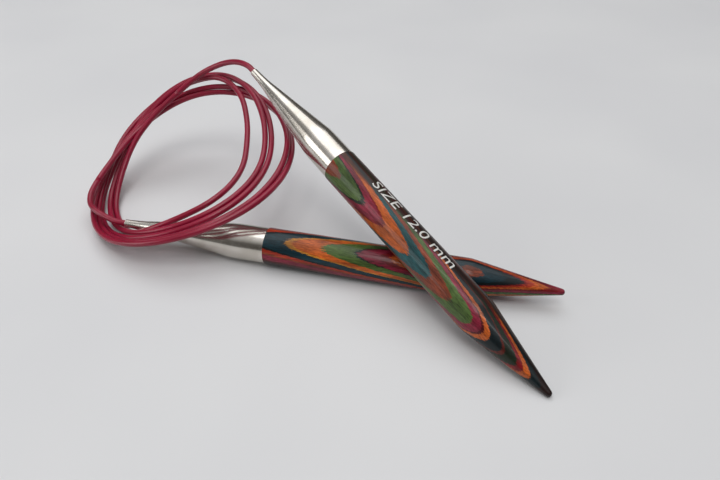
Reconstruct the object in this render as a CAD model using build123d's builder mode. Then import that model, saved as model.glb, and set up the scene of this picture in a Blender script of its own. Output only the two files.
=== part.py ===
from build123d import *
import math
import os

# Circular knitting needle, size 12 mm: two laminated-wood needles joined by one flexible cable.
# Millimetres, +Z up. The needles lie crossed on the surface Z = 0, needle A on top of needle B,
# and the origin is at the middle of their footprint. Along a needle, lengths count from the
# mouth of its ferrule, where the cable leaves, to the point.

# Needle
WOOD_RADIUS = 6.0
FERRULE_LENGTH = 51.4
SHANK_LENGTH = 65.2
TAPER_LENGTH = 28.6
POINT_RADIUS = 1.0
SHOULDER_BLEND = 14.0
TAPER_START = FERRULE_LENGTH + SHANK_LENGTH
NEEDLE_LENGTH = TAPER_START + TAPER_LENGTH

# Ferrule: a spun brass shell, nickel plated
MOUTH_RADIUS = 1.35
NECK_LENGTH = 6.0
NECK_RADIUS = 1.6
NECK_BLEND = 70.0
FLARE_END = 39.5
SOCKET_RADIUS = 5.85
FLARE_BLEND = 32.0
BORE_RADIUS = 1.05
BORE_LENGTH = 9.0
POCKET_START = 42.0
POCKET_RADIUS = 5.3

# Tenon of the wood inside the ferrule
TENON_START = 42.4
TENON_RADIUS = 5.25
TENON_CHAMFER = 0.6

# Crimp sleeve round the cable's end, seated in the flare
SLEEVE_START = 15.0
SLEEVE_LENGTH = 9.0
SLEEVE_RADIUS = 1.7
SLEEVE_CHAMFER = 0.2

# Cable
CABLE_RADIUS = 1.0
HEAD_RADIUS = 1.4
HEAD_LENGTH = 1.2
HEAD_GAP = 0.1  # between the sleeve and the melted head of the cable
BEND_OUT = 2.0  # the bending point lies this far outside the mouth
BEND_GAP = 0.1  # between the end's ball and the cup in the cable that turns round it

# Places of the needles: the middle of the mouth, the heading from +X, the dip of the point
MOUTH_A = (-27.24, 52.89, 44.31)
HEADING_A = -51.08
DIP_A = 17.42
MOUTH_B = (-69.8, 15.25, 6.0)
HEADING_B = -14.1
DIP_B = 0.0
SWING_B = 30.0  # how far needle B turns away from its rest place

# Coil: a thick ring of turns that leans on the surface
COIL_CENTRE = (-51.7, 35.0, 19.9)
COIL_RADIUS = 35.4
COIL_WIDTH = 12.6
COIL_DEPTH = 12.0
COIL_ROUNDING = 4.5
COIL_LEAN = 25.0
COIL_RISE = 40.5  # direction from +X in which the ring stands highest
COIL_FLOOR = 0.3
NEEDLE_CLEARANCE = 0.8
LEAD_SPACE = 11.0  # room behind needle B's bending point for its lead of cable
LEAD_SIDE = 5.0

# Routes of the cable from each needle's bending point into the coil: the corners, in order
RUN = 2.5  # straight run from the bending point
ROUTE_A = [(-35.3, 61.7, 44.8), (-42.0, 66.1, 41.9), (-50.4, 67.8, 37.3), (-58.9, 65.8, 30.9)]
ROUTE_B = [(-81.3, 20.6, 6.2), (-85.8, 26.0, 7.2)]
BEND_SHARE = 0.45  # of the shorter run, taken by each bend


def needle_plane(mouth, heading, dip):
    """The upright plane through a needle's axis, its X along the needle towards the point."""
    along = Vector(1, 0, 0).rotate(Axis.Y, dip).rotate(Axis.Z, heading)
    across = Vector(0, -1, 0).rotate(Axis.Z, heading)
    return Plane(origin=mouth, x_dir=along, z_dir=across)


def place(plane, along):
    """A place on a needle's axis, so far from the mouth."""
    return plane.origin + plane.x_dir * along


def needle_axis(plane):
    return Axis(plane.origin, plane.x_dir)


def finish(part, name):
    part.label = name
    export_step(part, f"parts/{name}.step")


def taper_touch():
    """Where the straight taper meets the rounded point: distance from the mouth, and radius."""
    centre = NEEDLE_LENGTH - POINT_RADIUS
    reach = math.hypot(TAPER_START - centre, WOOD_RADIUS)
    slant = math.atan2(WOOD_RADIUS, TAPER_START - centre) - math.acos(POINT_RADIUS / reach)
    return centre + POINT_RADIUS * math.cos(slant), POINT_RADIUS * math.sin(slant)


def make_wood_tip(plane, name):
    """Turned wood: the tenon in the ferrule, the shank, a straight taper and a round point."""
    centre = NEEDLE_LENGTH - POINT_RADIUS
    touch = taper_touch()
    half = POINT_RADIUS * math.sqrt(0.5)
    with BuildPart() as wood:
        with BuildSketch(plane):
            with BuildLine():
                Polyline(
                    (NEEDLE_LENGTH, 0),
                    (TENON_START, 0),
                    (TENON_START, TENON_RADIUS - TENON_CHAMFER),
                    (TENON_START + TENON_CHAMFER, TENON_RADIUS),
                    (FERRULE_LENGTH, TENON_RADIUS),
                    (FERRULE_LENGTH, WOOD_RADIUS),
                )
                FilletPolyline(
                    (FERRULE_LENGTH, WOOD_RADIUS),
                    (TAPER_START, WOOD_RADIUS),
                    touch,
                    radius=SHOULDER_BLEND,
                )
                ThreePointArc(touch, (centre + half, half), (NEEDLE_LENGTH, 0))
            make_face()
        revolve(axis=needle_axis(plane))
    finish(wood.part, name)


def make_ferrule(plane, name):
    """Spun shell: a narrow neck for the cable, a long flare and a socket for the wood."""
    with BuildPart() as ferrule:
        with BuildSketch(plane):
            with BuildLine():
                FilletPolyline(
                    (0, MOUTH_RADIUS),
                    (NECK_LENGTH, NECK_RADIUS),
                    (FLARE_END, SOCKET_RADIUS),
                    (FERRULE_LENGTH, SOCKET_RADIUS),
                    radius=[NECK_BLEND, FLARE_BLEND],
                )
                Polyline(
                    (FERRULE_LENGTH, SOCKET_RADIUS),
                    (FERRULE_LENGTH, POCKET_RADIUS),
                    (POCKET_START, POCKET_RADIUS),
                    (BORE_LENGTH, BORE_RADIUS),
                    (0, BORE_RADIUS),
                    (0, MOUTH_RADIUS),
                )
            make_face()
        revolve(axis=needle_axis(plane))
    finish(ferrule.part, name)


def make_crimp_sleeve(plane, name):
    """Short brass tube pressed on the end of the cable, which stops it in the flare."""
    with BuildPart() as sleeve:
        with BuildSketch(plane):
            with Locations((SLEEVE_START + SLEEVE_LENGTH / 2, (BORE_RADIUS + SLEEVE_RADIUS) / 2)):
                Rectangle(SLEEVE_LENGTH, SLEEVE_RADIUS - BORE_RADIUS)
        revolve(axis=needle_axis(plane))
        rims = sleeve.edges().filter_by(GeomType.CIRCLE).sort_by(SortBy.RADIUS)[-2:]
        chamfer(rims, length=SLEEVE_CHAMFER)
    finish(sleeve.part, name)


def make_cable_end(plane, name):
    """The end of the cable: a ball at its bending point, the stretch in the bore, a melted head."""
    start = -BEND_OUT
    head_start = SLEEVE_START + SLEEVE_LENGTH + HEAD_GAP
    with BuildPart() as end:
        with BuildSketch(plane):
            with BuildLine():
                RadiusArc((start - CABLE_RADIUS, 0), (start, CABLE_RADIUS), CABLE_RADIUS)
                Polyline(
                    (start, CABLE_RADIUS),
                    (head_start, CABLE_RADIUS),
                    (head_start, HEAD_RADIUS),
                    (head_start + HEAD_LENGTH, HEAD_RADIUS),
                    (head_start + HEAD_LENGTH, 0),
                    (start - CABLE_RADIUS, 0),
                )
            make_face()
        revolve(axis=needle_axis(plane))
    finish(end.part, name)


def lead_points(plane, corners):
    """The cable's route from a needle's bending point into the coil."""
    return [place(plane, -BEND_OUT), place(plane, -BEND_OUT - RUN), *map(Vector, corners)]


def bend_radii(points):
    """One radius for each corner: as large as the two runs beside it allow."""
    radii = []
    for before, corner, after in zip(points, points[1:], points[2:]):
        turn = math.radians((corner - before).get_angle(after - corner))
        shorter = min((corner - before).length, (after - corner).length)
        radii.append(BEND_SHARE * shorter / math.tan(turn / 2))
    return radii


def make_coil(name):
    """The leaning ring of turns, hollowed where needle B and its end of the cable move."""
    uphill = Vector(1, 0, 0).rotate(Axis.Y, -COIL_LEAN).rotate(Axis.Z, COIL_RISE)
    level_side = Vector(0, -1, 0).rotate(Axis.Z, COIL_RISE)
    section_plane = Plane(origin=COIL_CENTRE, x_dir=uphill, z_dir=level_side)
    with BuildPart() as coil:
        with BuildSketch(section_plane):
            with Locations((COIL_RADIUS, 0)):
                RectangleRounded(COIL_WIDTH, COIL_DEPTH, COIL_ROUNDING)
        revolve(axis=Axis(COIL_CENTRE, section_plane.y_dir))
        split(bisect_by=Plane.XY.offset(COIL_FLOOR), keep=Keep.TOP)
        with BuildSketch(Plane.XY):
            with BuildLine():
                Polyline(*swing_outline(), close=True)
            make_face()
        extrude(amount=2 * WOOD_RADIUS + NEEDLE_CLEARANCE, mode=Mode.SUBTRACT)
        add(needle_space(needle_a, WOOD_RADIUS + NEEDLE_CLEARANCE), mode=Mode.SUBTRACT)
    finish(coil.part, name)
    return coil.part


def swing_outline():
    """The ground that needle B, and the cable just behind it, cover as the needle turns."""
    pivot = place(needle_b, -BEND_OUT)
    narrow = MOUTH_RADIUS + NEEDLE_CLEARANCE
    wide = WOOD_RADIUS + NEEDLE_CLEARANCE
    side = Vector(0, 1, 0).rotate(Axis.Z, HEADING_B)
    far = needle_b.x_dir * (FERRULE_LENGTH + 10.0)
    turned_side = side.rotate(Axis.Z, SWING_B)
    turned_far = far.rotate(Axis.Z, SWING_B)
    back = needle_b.x_dir * -LEAD_SPACE
    corners = [
        pivot + back - side * narrow,
        pivot - side * narrow,
        pivot + far - side * wide,
        pivot + far * 1.2,
        pivot + turned_far * 1.2,
        pivot + turned_far + turned_side * wide,
        pivot + turned_side * narrow,
        pivot + back + side * LEAD_SIDE,
    ]
    return [(corner.X, corner.Y) for corner in corners]


def needle_space(plane, wide):
    """A plain cone round a needle from behind its bending point, kept clear of the coil."""
    behind = -BEND_OUT - CABLE_RADIUS - NEEDLE_CLEARANCE
    with BuildPart() as space:
        with BuildSketch(plane):
            with BuildLine():
                Polyline(
                    (behind, 0),
                    (behind, MOUTH_RADIUS + NEEDLE_CLEARANCE),
                    (NECK_LENGTH, NECK_RADIUS + NEEDLE_CLEARANCE),
                    (FLARE_END, wide),
                    (TAPER_START, wide),
                    (TAPER_START, 0),
                    close=True,
                )
            make_face()
        revolve(axis=needle_axis(plane))
    return space.part


def make_lead(points, coil, coil_wall, name):
    """The free stretch of cable from a needle's bending point to where it enters the coil."""
    radii = bend_radii(points)
    print(name, "bend radii", [round(radius, 1) for radius in radii])
    with BuildPart() as lead:
        with BuildLine() as route:
            FilletPolyline(*points, radius=radii)
        with BuildSketch(Plane(origin=points[0], z_dir=points[1] - points[0])):
            Circle(CABLE_RADIUS)
        sweep(path=route.wires()[0])
        length = route.wires()[0].length
        print(name, "volume over section x length", round(lead.part.volume / (math.pi * length), 4))
        if coil_wall:
            split(bisect_by=coil_wall, keep=Keep.TOP)
        else:
            add(coil, mode=Mode.SUBTRACT)
        with Locations(points[0]):
            Sphere(CABLE_RADIUS + BEND_GAP, mode=Mode.SUBTRACT)
    finish(lead.part.solids().sort_by_distance(points[0])[0], name)


os.makedirs("parts", exist_ok=True)

needle_a = needle_plane(MOUTH_A, HEADING_A, DIP_A)
needle_b = needle_plane(MOUTH_B, HEADING_B, DIP_B)

make_wood_tip(needle_a, "wood_tip_a")
make_ferrule(needle_a, "ferrule_a")
make_crimp_sleeve(needle_a, "crimp_sleeve_a")
make_cable_end(needle_a, "cable_end_a")

make_wood_tip(needle_b, "wood_tip_b")
make_ferrule(needle_b, "ferrule_b")
make_crimp_sleeve(needle_b, "crimp_sleeve_b")
make_cable_end(needle_b, "cable_end_b")

coil_part = make_coil("cable_coil")
coil_wall_b = Plane(origin=place(needle_b, -BEND_OUT - LEAD_SPACE), z_dir=needle_b.x_dir)
make_lead(lead_points(needle_a, ROUTE_A), coil_part, None, "cable_lead_a")
make_lead(lead_points(needle_b, ROUTE_B), coil_part, coil_wall_b, "cable_lead_b")
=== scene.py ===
import bmesh
import bpy
import math
from mathutils import Euler, Matrix, Vector
from mathutils.kdtree import KDTree


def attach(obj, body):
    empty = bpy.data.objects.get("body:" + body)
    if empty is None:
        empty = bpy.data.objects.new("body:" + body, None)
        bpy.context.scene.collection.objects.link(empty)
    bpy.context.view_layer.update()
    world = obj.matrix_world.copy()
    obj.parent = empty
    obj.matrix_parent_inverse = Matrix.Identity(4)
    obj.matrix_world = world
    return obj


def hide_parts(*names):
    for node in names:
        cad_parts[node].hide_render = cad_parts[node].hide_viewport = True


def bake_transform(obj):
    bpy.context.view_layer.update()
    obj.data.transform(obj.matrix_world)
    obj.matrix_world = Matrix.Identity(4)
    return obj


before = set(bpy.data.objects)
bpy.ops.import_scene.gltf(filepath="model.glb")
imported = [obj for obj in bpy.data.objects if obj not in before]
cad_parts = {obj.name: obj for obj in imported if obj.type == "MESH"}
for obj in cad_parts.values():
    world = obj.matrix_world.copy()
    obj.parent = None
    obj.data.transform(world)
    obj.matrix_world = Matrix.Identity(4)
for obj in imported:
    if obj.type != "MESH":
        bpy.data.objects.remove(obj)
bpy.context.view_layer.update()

MM = 0.001

# ---- the needles' places, as in part.py: mouth of the ferrule, heading from +X, dip of the point
NEEDLES = {
    "a": {"mouth": Vector((-27.24, 52.89, 44.31)), "heading": -51.08, "dip": 17.42},
    "b": {"mouth": Vector((-69.8, 15.25, 6.0)), "heading": -14.1, "dip": 0.0},
}
FERRULE_LENGTH = 51.4
NEEDLE_LENGTH = 145.2
WOOD_RADIUS = 6.0
CABLE_RADIUS = 1.0


def needle_rotation(side):
    """Turns a needle's own frame (X to the point, Z up and across it) into the row frame."""
    needle = NEEDLES[side]
    return Euler((0.0, math.radians(needle["dip"]), math.radians(needle["heading"])), "XYZ")


def on_axis(side, along):
    """A place on a needle's axis, in millimetres, counted from the mouth towards the point."""
    return NEEDLES[side]["mouth"] + needle_rotation(side).to_matrix() @ Vector((along, 0.0, 0.0))


# ---- camera
CAMERA_PLACE = Vector((9.88, -167.87, 137.74))
CAMERA_TILT = 52.82  # degrees up from looking straight down
FOCAL_LENGTH = 33.06
SENSOR_WIDTH = 36.0
camera_data = bpy.data.cameras.new("camera")
camera_data.lens = FOCAL_LENGTH
camera_data.sensor_width = SENSOR_WIDTH
camera_data.clip_start = 10 * MM
camera = bpy.data.objects.new("camera", camera_data)
camera.location = CAMERA_PLACE * MM
camera.rotation_euler = (math.radians(CAMERA_TILT), 0.0, 0.0)
bpy.context.collection.objects.link(camera)
bpy.context.scene.camera = camera

# ---- the cable: leads as in part.py, some points moved or added, and the coil between them
INSIDE = 5.0  # how far the drawn cable runs into each ferrule
STRAIGHT = 4.5  # how far it runs straight out of each mouth
LEAD_A = [
    on_axis("a", INSIDE),
    on_axis("a", 0.0),
    on_axis("a", -STRAIGHT),
    Vector((-35.3, 61.7, 44.8)),
    Vector((-42.0, 66.1, 41.9)),
    Vector((-50.4, 67.8, 37.3)),
    Vector((-58.9, 65.8, 30.9)),
    Vector((-68.3, 62.3, 23.8)),
    Vector((-76.2, 55.2, 15.8)),
]
LEAD_B = [
    Vector((-86.3, 33.6, 9.4)),
    Vector((-85.6, 25.5, 7.5)),
    Vector((-81.2, 20.2, 7.4)),
    on_axis("b", -STRAIGHT),
    on_axis("b", 0.0),
    on_axis("b", INSIDE),
]
# the coil, given as leaning circles, and how far the cable reaches from their middle, in
# millimetres, each time that it passes the right, the back, the left and the front; the cable
# joins the coil between the first back and left, and leaves it between the last back and left
COIL_MIDDLE = Vector((-51.5, 34.8, 18.5))
REACH = [
    (36, 34, 32, 28),
    (24, 39, 33, 32),
    (31, 41, 36, 35),
    (33, 41, 36, 38),
    (39, 36, 37, 40),
    (40, 34, 37, 36),
]
LEAN_FIRST, LEAN_LAST = 32.0, 19.0  # degrees: each turn leans less than the one before
COIL_RISE = math.radians(40.0)  # the direction in which the turns stand highest
SADDLE = 3.5  # the front and the back are higher than a flat ring's, and the sides lower
FIRST_TURN, LAST_TURN = 0.45, 5.43  # where the coil begins and ends, in turns
POINTS_PER_TURN = 16
QUARTERS = 4


def coil_point(turn):
    """A point of the coil, so many turns from its start."""
    reaches = [reach for row in REACH for reach in row]
    before = min(int(QUARTERS * turn), len(reaches) - 2)
    share = 0.5 - 0.5 * math.cos(math.pi * (QUARTERS * turn - before))
    reach = reaches[before] * (1.0 - share) + reaches[before + 1] * share
    angle = 2.0 * math.pi * turn - COIL_RISE
    lean = math.radians(LEAN_FIRST + (LEAN_LAST - LEAN_FIRST) * turn / LAST_TURN)
    level = Vector((-math.sin(COIL_RISE), math.cos(COIL_RISE), 0.0))
    forward = Vector((math.cos(COIL_RISE), math.sin(COIL_RISE), 0.0))
    uphill = forward * math.cos(lean) + Vector((0.0, 0.0, math.sin(lean)))
    saddle = Vector((0.0, 0.0, -SADDLE * math.cos(4.0 * math.pi * turn)))
    return COIL_MIDDLE + reach * (uphill * math.cos(angle) + level * math.sin(angle)) + saddle


def coil_points():
    count = int((LAST_TURN - FIRST_TURN) * POINTS_PER_TURN) + 1
    return [coil_point(FIRST_TURN + index / POINTS_PER_TURN) for index in range(count)]


# ---- the turns rest on one another, on the floor and on the ferrules instead of passing through
TOUCH = 2 * CABLE_RADIUS + 0.05  # how near two turns may come, middle to middle
HELD_A, HELD_B = 7, 4  # points at each end that stay where they are
STEPS_BETWEEN = 10  # places looked at between two points
ROUNDS = 300
EASE = 0.8  # how much of each wanted move is made in one round
DEPTH_SHARE = 0.85  # how much of a move goes along the line of sight, where it does not show
NEIGHBOUR = 22.0  # millimetres along the cable within which it is not compared with itself
NECK_END, NECK_RADIUS, FLARE_SLOPE = 6.0, 1.6, 0.13  # the outside of a ferrule, roughly as in part.py


def spread(points):
    """Places along the quadratic spline of the points: each with its three points' weights."""
    places = []
    for index in range(1, len(points) - 1):
        for step in range(STEPS_BETWEEN):
            part = (step + 0.5) / STEPS_BETWEEN
            weights = (0.5 * (1.0 - part) ** 2, 0.5 + part * (1.0 - part), 0.5 * part ** 2)
            place = sum((points[index + k - 1] * weights[k] for k in range(3)), Vector())
            places.append((index, weights, place))
    return places


def push(moves, place, shift):
    """Adds the moves of the three points near a place that shift it by so much."""
    index, weights = place[:2]
    strength = sum(weight * weight for weight in weights)
    for k in range(3):
        moves[index + k - 1].append(shift * (weights[k] / strength))


def part_them(place, spot, distance):
    """The shift that takes one place on the cable half the way clear of another."""
    straight = (place - spot) * ((TOUCH - distance) / distance)
    sight = (camera.location / MM - place).normalized()
    depth = (place - spot).dot(sight)
    aside = distance * distance - depth * depth
    deeper = math.sqrt(max(0.0, TOUCH * TOUCH - aside)) - abs(depth)
    along = sight * math.copysign(deeper, depth)
    return (along * DEPTH_SHARE + straight * (1.0 - DEPTH_SHARE)) * 0.5


def needle_push(place, side):
    """The shift that takes a place on the cable out of a needle's ferrule."""
    start = NEEDLES[side]["mouth"]
    forward = needle_rotation(side).to_matrix() @ Vector((1.0, 0.0, 0.0))
    along = (place - start).dot(forward)
    if not 0.0 < along < NEEDLE_LENGTH:
        return None
    away = place - start - forward * along
    reach = min(WOOD_RADIUS, NECK_RADIUS + max(0.0, along - NECK_END) * FLARE_SLOPE) + TOUCH / 2
    if away.length >= reach:
        return None
    return away.normalized() * (reach - away.length)


def settle(points):
    """Moves the loose points a little until no turn runs through another."""
    points = [point.copy() for point in points]
    for _ in range(ROUNDS):
        places = spread(points)
        tree = KDTree(len(places))
        run = [0.0]
        for number, place in enumerate(places):
            tree.insert(place[2], number)
            if number:
                run.append(run[-1] + (place[2] - places[number - 1][2]).length)
        tree.balance()
        moves = [[] for _ in points]
        for number, place in enumerate(places):
            for spot, other, distance in tree.find_range(place[2], TOUCH):
                if abs(run[number] - run[other]) > NEIGHBOUR and distance > 1e-6:
                    push(moves, place, part_them(place[2], spot, distance))
            if place[2].z < CABLE_RADIUS:
                push(moves, place, Vector((0.0, 0.0, CABLE_RADIUS - place[2].z)))
            for side in "ab":
                shift = needle_push(place[2], side)
                if shift and HELD_A < place[0] < len(points) - HELD_B - 1:  # away from both mouths
                    push(moves, place, shift)
        for index in range(HELD_A, len(points) - HELD_B):
            if moves[index]:
                points[index] += sum(moves[index], Vector()) / len(moves[index]) * EASE
    return points


def smooth_line(points):
    """The points read along one NURBS spline that has the given points as control points."""
    curve = bpy.data.curves.new("route", "CURVE")
    curve.dimensions = "3D"
    curve.resolution_u = 12
    spline = curve.splines.new("NURBS")
    spline.points.add(len(points) - 1)
    for spot, point in zip(spline.points, points):
        spot.co = (point.x * MM, point.y * MM, point.z * MM, 1.0)
    spline.order_u = 3
    spline.use_endpoint_u = True
    holder = bpy.data.objects.new("route", curve)
    bpy.context.collection.objects.link(holder)
    bpy.context.view_layer.update()
    mesh = bpy.data.meshes.new_from_object(holder.evaluated_get(bpy.context.evaluated_depsgraph_get()))
    line = [vertex.co.copy() for vertex in mesh.vertices]
    bpy.data.objects.remove(holder)
    bpy.data.curves.remove(curve)
    bpy.data.meshes.remove(mesh)
    return line


def lengths_along(line):
    total = [0.0]
    for before, after in zip(line, line[1:]):
        total.append(total[-1] + (after - before).length)
    return total


def frames_along(line):
    """A direction across the line at each point, carried along without twisting."""
    across = (line[1] - line[0]).orthogonal().normalized()
    result = []
    for index, point in enumerate(line):
        ahead = line[min(index + 1, len(line) - 1)] - line[max(index - 1, 0)]
        ahead.normalize()
        across = (across - ahead * across.dot(ahead)).normalized()
        result.append((across.copy(), ahead.cross(across)))
    return result


def make_tube(name, line, frames, radius, sides=20):
    """A closed round tube along a line."""
    verts, faces = [], []
    for point, (across, up) in zip(line, frames):
        for side in range(sides):
            angle = 2.0 * math.pi * side / sides
            verts.append(point + (across * math.cos(angle) + up * math.sin(angle)) * radius)
    for ring in range(len(line) - 1):
        for side in range(sides):
            nxt = (side + 1) % sides
            low, high = ring * sides, (ring + 1) * sides
            faces.append((low + side, low + nxt, high + nxt, high + side))
    faces.append(tuple(reversed(range(sides))))
    faces.append(tuple(range((len(line) - 1) * sides, len(line) * sides)))
    mesh = bpy.data.meshes.new(name)
    mesh.from_pydata([tuple(v) for v in verts], [], faces)
    mesh.validate()
    mesh.polygons.foreach_set("use_smooth", [True] * (len(faces) - 2) + [False] * 2)
    piece = bpy.data.objects.new(name, mesh)
    bpy.context.collection.objects.link(piece)
    return piece


planned = LEAD_A + coil_points() + LEAD_B
settled = settle(planned)
route = smooth_line(settled)
route_frames = frames_along(route)
route_lengths = lengths_along(route)
LEAD_LENGTH_A = 46 * MM
LEAD_LENGTH_B = 34 * MM
split_a = min(i for i, d in enumerate(route_lengths) if d > LEAD_LENGTH_A)
split_b = max(i for i, d in enumerate(route_lengths) if d < route_lengths[-1] - LEAD_LENGTH_B)


def stretch(name, first, last):
    return make_tube(name, route[first:last + 1], route_frames[first:last + 1], CABLE_RADIUS * MM)


lead_a = stretch("cable_at_needle_a", 0, split_a)
turns = stretch("cable_turns", split_a, split_b)
lead_b = stretch("cable_at_needle_b", split_b, len(route) - 1)


# ---- materials
def srgb(red, green, blue, alpha=1.0):
    def linear(value):
        value /= 255.0
        return value / 12.92 if value <= 0.04045 else ((value + 0.055) / 1.055) ** 2.4
    return (linear(red), linear(green), linear(blue), alpha)


class Nodes:
    """A short way to write a material's nodes."""

    def __init__(self, name):
        self.material = bpy.data.materials.new(name)
        self.material.use_nodes = True
        self.tree = self.material.node_tree
        self.tree.nodes.clear()
        self.shader = self.add("ShaderNodeBsdfPrincipled")
        out = self.add("ShaderNodeOutputMaterial")
        self.link(self.shader.outputs[0], out.inputs["Surface"])

    def add(self, kind, **settings):
        node = self.tree.nodes.new(kind)
        for key, value in settings.items():
            setattr(node, key, value)
        return node

    def link(self, source, target):
        self.tree.links.new(source, target)

    def put(self, value, socket):
        if isinstance(value, bpy.types.NodeSocket):
            self.link(value, socket)
        else:
            socket.default_value = value

    def math(self, operation, first, second=0.0, third=0.0):
        node = self.add("ShaderNodeMath", operation=operation)
        for socket, value in zip(node.inputs, (first, second, third)):
            self.put(value, socket)
        return node.outputs[0]

    def coords(self, side=None):
        """Millimetres: in a needle's own frame, or in the row frame."""
        source = self.add("ShaderNodeTexCoord").outputs["Object"]
        if side:
            turn = self.add("ShaderNodeMapping", vector_type="TEXTURE")
            turn.inputs["Location"].default_value = NEEDLES[side]["mouth"] * MM
            turn.inputs["Rotation"].default_value = needle_rotation(side)
            self.link(source, turn.inputs["Vector"])
            source = turn.outputs[0]
        size = self.add("ShaderNodeVectorMath", operation="SCALE")
        self.link(source, size.inputs[0])
        size.inputs["Scale"].default_value = 1000.0
        return size.outputs[0]

    def stretched(self, vector, scale):
        node = self.add("ShaderNodeVectorMath", operation="MULTIPLY")
        self.link(vector, node.inputs[0])
        node.inputs[1].default_value = scale
        return node.outputs[0]

    def split(self, vector):
        node = self.add("ShaderNodeSeparateXYZ")
        self.link(vector, node.inputs[0])
        return node.outputs

    def noise(self, vector, scale, detail=2.0, roughness=0.5):
        node = self.add("ShaderNodeTexNoise")
        self.link(vector, node.inputs["Vector"])
        node.inputs["Scale"].default_value = scale
        node.inputs["Detail"].default_value = detail
        node.inputs["Roughness"].default_value = roughness
        return node.outputs["Fac"]

    def between(self, value, low, high, new_low=0.0, new_high=1.0):
        node = self.add("ShaderNodeMapRange")
        for socket, number in zip(node.inputs, (value, low, high, new_low, new_high)):
            self.put(number, socket)
        return node.outputs[0]

    def ramp(self, value, stops, interpolation="LINEAR"):
        node = self.add("ShaderNodeValToRGB")
        node.color_ramp.interpolation = interpolation
        elements = node.color_ramp.elements
        while len(elements) < len(stops):
            elements.new(1.0)
        for element, (position, colour) in zip(elements, stops):
            element.position = position
            element.color = colour
        self.link(value, node.inputs[0])
        return node.outputs[0]

    def mix(self, factor, first, second, blend="MIX"):
        node = self.add("ShaderNodeMix", data_type="RGBA", blend_type=blend)
        self.put(factor, node.inputs[0])
        self.put(first, node.inputs[6])
        self.put(second, node.inputs[7])
        return node.outputs[2]

    def bump(self, height, distance, strength):
        node = self.add("ShaderNodeBump")
        node.inputs["Strength"].default_value = strength
        node.inputs["Distance"].default_value = distance
        self.link(height, node.inputs["Height"])
        return node.outputs[0]

    def set(self, **values):
        for key, value in values.items():
            self.put(value, self.shader.inputs[key.replace("_", " ")])


RED_BROWN = srgb(96, 32, 22)
DARK_RED = srgb(84, 12, 16)
CRIMSON = srgb(122, 16, 24)
MAGENTA = srgb(136, 34, 56)
ORANGE = srgb(192, 92, 34)
RUST = srgb(134, 60, 34)
GOLD = srgb(200, 132, 44)
GREEN = srgb(78, 102, 48)
DARK_GREEN = srgb(24, 36, 20)
TEAL = srgb(28, 82, 86)
DARK_TEAL = srgb(8, 26, 30)
BROWN = srgb(34, 16, 12)
ORANGE_RED = srgb(172, 52, 26)
DEEP_TEAL = srgb(12, 48, 58)

# veneers of each needle in order: the depth where each begins, in millimetres, and its dye
VENEERS_A = [
    (-16.0, BROWN), (-9.8, DARK_TEAL), (-8.7, ORANGE), (-8.0, CRIMSON), (-7.3, DARK_GREEN),
    (-6.1, RED_BROWN), (-5.7, DARK_TEAL), (-4.4, ORANGE), (-3.7, DARK_RED), (-3.4, MAGENTA),
    (-2.5, GREEN), (-1.2, RUST), (-0.2, TEAL), (1.0, ORANGE), (2.45, CRIMSON), (2.75, MAGENTA),
    (3.7, DARK_GREEN), (3.95, GREEN), (5.35, RUST), (6.3, BROWN),
]
VENEERS_B = [
    (-16.0, BROWN), (1.2, DARK_RED), (2.4, MAGENTA), (4.1, RUST), (4.6, ORANGE_RED), (5.25, DARK_TEAL),
    (5.6, DEEP_TEAL), (6.57, GOLD), (6.9, ORANGE), (7.6, GREEN), (8.6, DARK_TEAL), (8.75, MAGENTA),
    (9.3, CRIMSON), (9.65, ORANGE), (9.97, ORANGE_RED), (10.15, CRIMSON), (10.31, DARK_TEAL),
    (10.8, DEEP_TEAL), (11.47, RUST),
]


# how the wood of both needles wavers, across the stack in millimetres
WAVES = 0.5  # slow waves of all the veneers
FEATHER = 0.8  # the ragged edge of each veneer
# painted shade along the right flank of both needles: how ragged its edge is and over how many millimetres
# it fades in
FLANK_SHADE_RAGGED = 1.6
FLANK_SHADE_FADE = 1.2
PORE_SHARE = 0.45
PORE = srgb(30, 14, 10)


def grey(level):
    return (level, level, level, 1.0)


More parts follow.
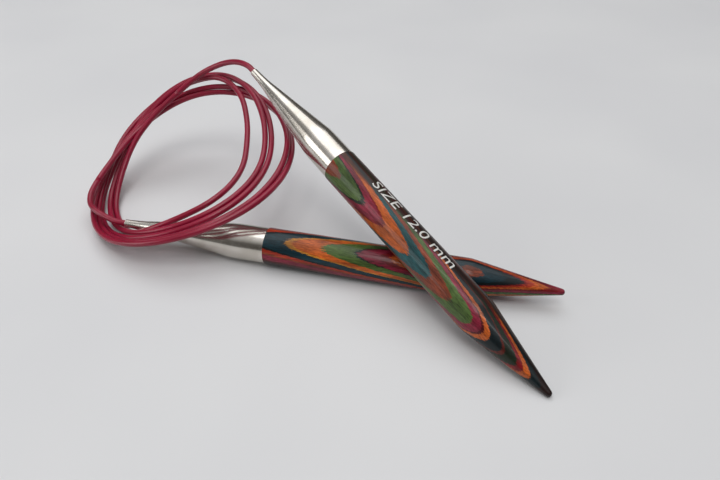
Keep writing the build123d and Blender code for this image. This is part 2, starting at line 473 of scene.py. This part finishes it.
def make_wood(side, veneers, slope, facing, sag, painted_flank_shade):
    """Dyed birch veneers bonded in a stack that lies a little askew to the needle.

    A sag below zero curves the stack down on its upper side. The painted flank shade is painted shade,
    a darkening towards brown along the right flank: how far across it starts, how much farther for each
    millimetre, and how dark it is.
    """
    nodes = Nodes("laminated_wood_" + side)
    place = nodes.coords(side)
    x, y, z = nodes.split(place)
    wave = nodes.noise(nodes.stretched(place, (0.05, 0.12, 0.12)), 1.0, 2.0)
    feather = nodes.noise(nodes.stretched(place, (0.14, 1.0, 1.0)), 3.2, 5.0, 0.75)
    fibre = nodes.noise(nodes.stretched(place, (0.12, 1.0, 1.0)), 3.0, 5.0, 0.7)
    fine = nodes.noise(nodes.stretched(place, (0.10, 1.0, 1.0)), 9.0, 3.0, 0.6)
    depth = nodes.math("MULTIPLY", nodes.math("SUBTRACT", x, FERRULE_LENGTH), slope)
    depth = nodes.math("MULTIPLY_ADD", y, facing[0], depth)
    depth = nodes.math("MULTIPLY_ADD", z, facing[1], depth)
    aside = nodes.math("MULTIPLY_ADD", y, facing[1], nodes.math("MULTIPLY", z, -facing[0]))
    aside = nodes.math("MAXIMUM", aside, 0.0)
    depth = nodes.math("MULTIPLY_ADD", nodes.math("MULTIPLY", aside, aside), sag, depth)
    depth = nodes.math("MULTIPLY_ADD", nodes.math("SUBTRACT", wave, 0.5), WAVES, depth)
    depth = nodes.math("MULTIPLY_ADD", nodes.math("SUBTRACT", feather, 0.5), FEATHER, depth)
    low, high = veneers[0][0], veneers[-1][0] + 2.0
    span = high - low
    level = nodes.between(depth, low, high)
    stops = [((start - low) / span, colour) for start, colour in veneers]
    colour = nodes.ramp(level, stops, "CONSTANT")
    shade = nodes.ramp(fibre, [(0.32, (0.30, 0.28, 0.28, 1.0)), (0.5, grey(0.85)), (0.68, grey(1.3))])
    colour = nodes.mix(1.0, colour, shade, "MULTIPLY")
    cloud = nodes.noise(nodes.stretched(place, (0.09, 0.4, 0.4)), 1.0, 2.0)
    tone = nodes.ramp(cloud, [(0.3, grey(0.55)), (0.7, grey(1.25))])
    colour = nodes.mix(1.0, colour, tone, "MULTIPLY")
    # painted shade: the right flank of each needle is darkened towards brown in the colour, standing in for
    # the shade that side gets
    start, slant, darkness = painted_flank_shade
    edge = nodes.math("MULTIPLY_ADD", nodes.math("SUBTRACT", wave, 0.5), FLANK_SHADE_RAGGED, y)
    edge = nodes.math("MULTIPLY_ADD", nodes.math("SUBTRACT", x, FERRULE_LENGTH), -slant, edge)
    flank = nodes.between(edge, start, start + FLANK_SHADE_FADE, 0.0, darkness)
    colour = nodes.mix(flank, colour, BROWN)
    pores = nodes.between(fine, 0.60, 0.70)
    colour = nodes.mix(nodes.math("MULTIPLY", pores, PORE_SHARE), colour, PORE)
    nodes.set(Base_Color=colour, Roughness=nodes.between(fine, 0.3, 0.7, 0.36, 0.48), Coat_Weight=0.3)
    nodes.shader.inputs["Coat Roughness"].default_value = 0.10
    nodes.shader.inputs["Specular IOR Level"].default_value = 0.2
    nodes.set(Normal=nodes.bump(fine, 0.00004, 0.5))
    return nodes.material


def make_nickel(side):
    """Nickel plate on a spun shell: satin, with very fine lathe lines and some darker bloom."""
    nodes = Nodes("nickel_" + side)
    place = nodes.coords(side)
    lines = nodes.noise(nodes.stretched(place, (6.0, 0.05, 0.05)), 1.5, 3.0, 0.6)
    cloud = nodes.noise(place, 0.16, 3.0)
    colour = nodes.ramp(cloud, [(0.35, srgb(196, 190, 180)), (0.65, srgb(216, 211, 203))])
    nodes.set(Base_Color=colour, Metallic=1.0, Roughness=nodes.between(lines, 0.3, 0.7, 0.17, 0.25))
    nodes.set(Normal=nodes.bump(lines, 0.000005, 0.4))
    return nodes.material


def make_brass():
    nodes = Nodes("brass_sleeve")
    place = nodes.coords()
    cloud = nodes.noise(place, 0.9, 3.0)
    colour = nodes.ramp(cloud, [(0.3, srgb(176, 142, 74)), (0.7, srgb(206, 172, 98))])
    nodes.set(Base_Color=colour, Metallic=1.0, Roughness=nodes.between(cloud, 0.3, 0.7, 0.28, 0.42))
    return nodes.material


def make_cable():
    """Smooth extruded plastic, crimson and a little translucent."""
    nodes = Nodes("crimson_cable")
    place = nodes.coords()
    cloud = nodes.noise(place, 0.07, 2.0)
    grain = nodes.noise(place, 1.3, 3.0, 0.6)
    colour = nodes.ramp(cloud, [(0.3, srgb(132, 6, 42)), (0.7, srgb(152, 14, 54))])
    nodes.set(Base_Color=colour, Roughness=nodes.between(grain, 0.3, 0.7, 0.30, 0.38))
    nodes.shader.inputs["Subsurface Weight"].default_value = 0.25
    nodes.shader.inputs["Subsurface Radius"].default_value = (1.0, 0.25, 0.35)
    nodes.shader.inputs["Subsurface Scale"].default_value = 0.0012
    nodes.shader.inputs["Coat Weight"].default_value = 0.2
    nodes.shader.inputs["Coat Roughness"].default_value = 0.12
    nodes.shader.inputs["Specular IOR Level"].default_value = 0.4
    nodes.set(Normal=nodes.bump(grain, 0.00002, 0.3))
    return nodes.material


def make_print():
    nodes = Nodes("white_print")
    wear = nodes.noise(nodes.coords(), 2.4, 4.0, 0.7)
    colour = nodes.ramp(wear, [(0.3, srgb(196, 196, 190)), (0.6, srgb(226, 226, 222))])
    nodes.set(Base_Color=colour, Roughness=nodes.between(wear, 0.3, 0.7, 0.40, 0.55))
    return nodes.material


def give(piece, material):
    piece.data.materials.clear()
    piece.data.materials.append(material)


def give_node(name, material):
    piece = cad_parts[name]
    if not piece.material_slots:
        piece.data.materials.append(material)
    for slot in piece.material_slots:
        slot.material = material


cable_material = make_cable()
# the last three numbers of each needle are its painted flank shade: where it starts, its slant and its
# strength
give_node("wood_tip_a", make_wood("a", VENEERS_A, -0.123, (-0.87, 0.50), -0.045, (-2.0, 0.03, 0.88)))
give_node("wood_tip_b", make_wood("b", VENEERS_B, 0.09, (-0.52, 0.857), 0.0, (2.6, 0.0, 0.5)))
brass = make_brass()
for side in "ab":
    give_node("ferrule_" + side, make_nickel(side))
    give_node("crimp_sleeve_" + side, brass)
for node in ("cable_end_a", "cable_end_b", "cable_lead_a", "cable_lead_b", "cable_coil"):
    give_node(node, cable_material)

# ---- the size mark, printed along needle A
MARK = "SIZE 12.0 mm"
MARK_HEIGHT = 4.9
MARK_START = 66.2
MARK_LENGTH = 36.6
MARK_ANGLE = -3.0
MARK_STEP = 0.3  # width of the strips that bend round the shank
MARK_LIFT = 0.015  # clear of the wood
MARK_SKIN = 0.03  # thickness of the print


def cut_across(mesh):
    """Cuts the letters into low strips, so that they follow the shank's curve."""
    letters = bmesh.new()
    letters.from_mesh(mesh)
    bmesh.ops.triangulate(letters, faces=letters.faces)
    lowest = min(v.co.y for v in letters.verts)
    highest = max(v.co.y for v in letters.verts)
    for strip in range(1, int((highest - lowest) / MARK_STEP) + 1):
        everything = letters.verts[:] + letters.edges[:] + letters.faces[:]
        bmesh.ops.bisect_plane(letters, geom=everything, plane_co=(0.0, lowest + strip * MARK_STEP, 0.0),
                               plane_no=(0.0, 1.0, 0.0))
    letters.to_mesh(mesh)
    letters.free()


def make_mark():
    """Letters wrapped round the shank, reading towards the point."""
    words = bpy.data.curves.new("mark", "FONT")
    words.body = MARK
    words.size = MARK_HEIGHT
    words.extrude = MARK_SKIN / 2.0
    words.resolution_u = 4
    holder = bpy.data.objects.new("mark", words)
    bpy.context.collection.objects.link(holder)
    bpy.context.view_layer.update()
    mesh = bpy.data.meshes.new_from_object(holder.evaluated_get(bpy.context.evaluated_depsgraph_get()))
    bpy.data.objects.remove(holder)
    cut_across(mesh)
    left = min(v.co.x for v in mesh.vertices)
    right = max(v.co.x for v in mesh.vertices)
    turn = Matrix.Translation(NEEDLES["a"]["mouth"]) @ needle_rotation("a").to_matrix().to_4x4()
    for vertex in mesh.vertices:
        along = MARK_START + (vertex.co.x - left) * MARK_LENGTH / (right - left)
        angle = math.radians(MARK_ANGLE) + vertex.co.y / WOOD_RADIUS
        reach = WOOD_RADIUS + MARK_LIFT + MARK_SKIN / 2.0 + vertex.co.z
        spot = turn @ Vector((along, reach * math.sin(angle), reach * math.cos(angle)))
        vertex.co = spot * MM
    mesh.update()
    piece = bpy.data.objects.new("size_mark", mesh)
    bpy.context.collection.objects.link(piece)
    give(piece, make_print())
    return piece


mark = make_mark()
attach(mark, "needle_a")

# ---- the cable pieces: the turns ride on the cable's body, the two leads stay fixed in place, and the imported cable parts are hidden
for piece in (lead_a, turns, lead_b):
    give(piece, cable_material)
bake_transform(lead_a)
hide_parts("cable_lead_a", "cable_end_a")
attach(turns, "cable")
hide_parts("cable_coil")
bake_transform(lead_b)
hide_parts("cable_lead_b", "cable_end_b")


# ---- floor and light
FLOOR_WIDTH = 2.4
FLOOR_STEPS = 48
FLOOR_IN_FRONT = 0.4  # the share of the floor that lies on the camera's side


def make_floor():
    row = FLOOR_STEPS + 1
    verts = [((-0.5 + i / FLOOR_STEPS) * FLOOR_WIDTH, (-FLOOR_IN_FRONT + j / FLOOR_STEPS) * FLOOR_WIDTH, 0.0)
             for j in range(row) for i in range(row)]
    corners = [j * row + i for j in range(FLOOR_STEPS) for i in range(FLOOR_STEPS)]
    faces = [(corner, corner + 1, corner + row + 1, corner + row) for corner in corners]
    mesh = bpy.data.meshes.new("floor")
    mesh.from_pydata(verts, [], faces)
    floor = bpy.data.objects.new("floor", mesh)
    bpy.context.collection.objects.link(floor)
    nodes = Nodes("pale_floor")
    cloud = nodes.noise(nodes.coords(), 0.01, 2.0)
    colour = nodes.ramp(cloud, [(0.3, srgb(213, 214, 216)), (0.7, srgb(219, 220, 221))])
    nodes.set(Base_Color=colour, Roughness=0.7)
    give(floor, nodes.material)


def add_area(name, place, target, size, power, colour=(1.0, 1.0, 1.0)):
    data = bpy.data.lights.new(name, "AREA")
    data.shape = "RECTANGLE"
    data.size, data.size_y = size
    data.energy = power
    data.color = colour
    light = bpy.data.objects.new(name, data)
    light.location = place
    light.rotation_euler = (Vector(target) - Vector(place)).to_track_quat("-Z", "Y").to_euler()
    bpy.context.collection.objects.link(light)


make_floor()
# each light: its place, what it points at, its size, its power in watts
add_area("ceiling", (-0.05, 0.45, 1.1), (0.0, 0.07, 0.0), (1.3, 1.0), 5.2)
add_area("lamp", (-0.05, -0.42, 1.05), (-0.04, 0.03, 0.0), (0.5, 0.5), 3.3, (1.0, 0.985, 0.965))
add_area("window", (-1.1, -0.2, 0.42), (0.0, 0.05, 0.0), (0.7, 0.6), 3.4)

# the sky is dark low down and pale overhead
LOW_SKY = (0.10, 0.095, 0.09, 1.0)
HIGH_SKY = (0.75, 0.75, 0.77, 1.0)
SKY_STRENGTH = 0.95
world = bpy.data.worlds.new("world")
world.use_nodes = True
sky = world.node_tree
background = sky.nodes["Background"]
direction = sky.nodes.new("ShaderNodeTexCoord")
height = sky.nodes.new("ShaderNodeSeparateXYZ")
gradient = sky.nodes.new("ShaderNodeValToRGB")
sky.links.new(direction.outputs["Generated"], height.inputs[0])
sky.links.new(height.outputs["Z"], gradient.inputs[0])
gradient.color_ramp.elements[0].position = 0.5
gradient.color_ramp.elements[0].color = LOW_SKY
gradient.color_ramp.elements[1].position = 0.95
gradient.color_ramp.elements[1].color = HIGH_SKY
sky.links.new(gradient.outputs[0], background.inputs["Color"])
background.inputs["Strength"].default_value = SKY_STRENGTH
bpy.context.scene.world = world
bpy.context.scene.view_settings.view_transform = "Standard"
